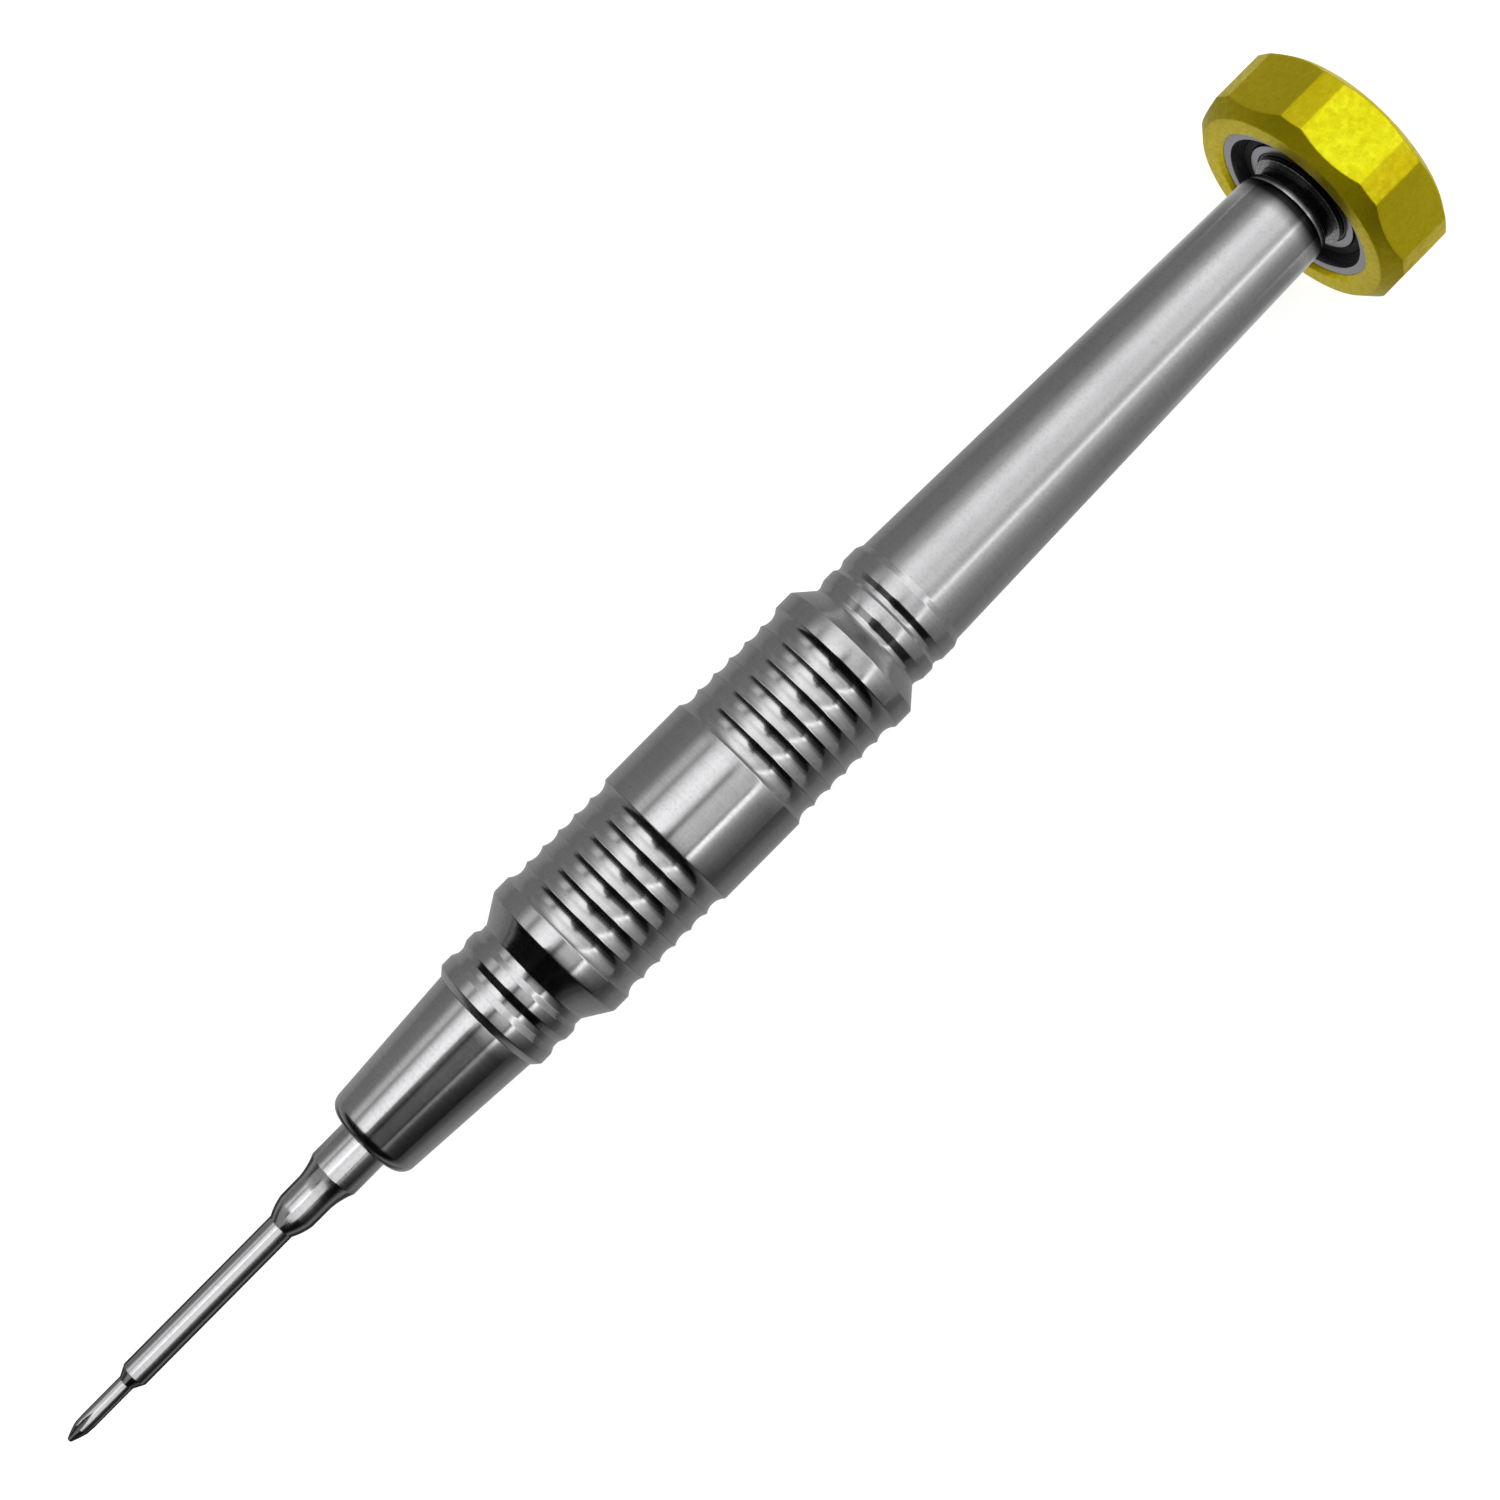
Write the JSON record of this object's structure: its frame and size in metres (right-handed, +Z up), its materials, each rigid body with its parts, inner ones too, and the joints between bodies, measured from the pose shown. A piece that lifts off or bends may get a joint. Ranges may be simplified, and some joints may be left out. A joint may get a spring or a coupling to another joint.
{
  "type": "precision screwdriver",
  "caption": "Precision screwdriver with a fluted cross tip, a grooved turned handle and a faceted cap that spins freely on a ball bearing.",
  "frame": {"origin": "middle of the tool's length, on its axis seen from above, at the cap's lower flat", "axes": "+X along the tool from the blade's tip to the cap, +Z up from the cap's lower flat, +Y across"},
  "size_m": [0.1076, 0.0152, 0.0152],
  "materials": {
    "tool_steel": "polished",
    "satin_aluminium": "satin",
    "yellow_anodised": "satin",
    "bearing_steel": "ground",
    "dark_steel": "black oxide",
    "screw_steel": "plain",
    "brass_bush": "machined",
    "black_rubber": "matt",
    "cage_plastic": "matt"
  },
  "bodies": {
    "handle": {"blade": "tool_steel", "blade_bush": "brass_bush", "blade_grub_screws": "dark_steel", "nose_sleeve": "satin_aluminium", "front_barrel": "satin_aluminium", "joint_stud": "screw_steel", "joint_o_ring": "black_rubber", "rear_barrel": "satin_aluminium", "end_insert": "screw_steel", "spindle": "dark_steel", "neck_washer_front": "screw_steel", "neck_washer_rear": "dark_steel", "spindle_washer": "screw_steel", "spindle_screw": "screw_steel", "bearing_inner_ring": "bearing_steel"},
    "cage": {"bearing_balls": "bearing_steel", "bearing_cage": "cage_plastic"},
    "cap": {"bearing_outer_ring": "bearing_steel", "bearing_seal_front": "black_rubber", "bearing_seal_rear": "black_rubber", "cap_retaining_ring": "bearing_steel", "cap_shell": "yellow_anodised"}
  },
  "joints": [
    {"name": "cap_spin", "type": "hinge", "parent": "handle", "child": "cap", "pos_m": [0.051, 0, 0.0076], "axis": [1, 0, 0], "continuous": true},
    {"name": "cage_spin", "type": "hinge", "parent": "handle", "child": "cage", "pos_m": [0.051, 0, 0.0076], "axis": [1, 0, 0], "continuous": true}
  ],
  "couplings": [
    {"joint": "cage_spin", "follows": "cap_spin", "ratio": 0.5497}
  ]
}
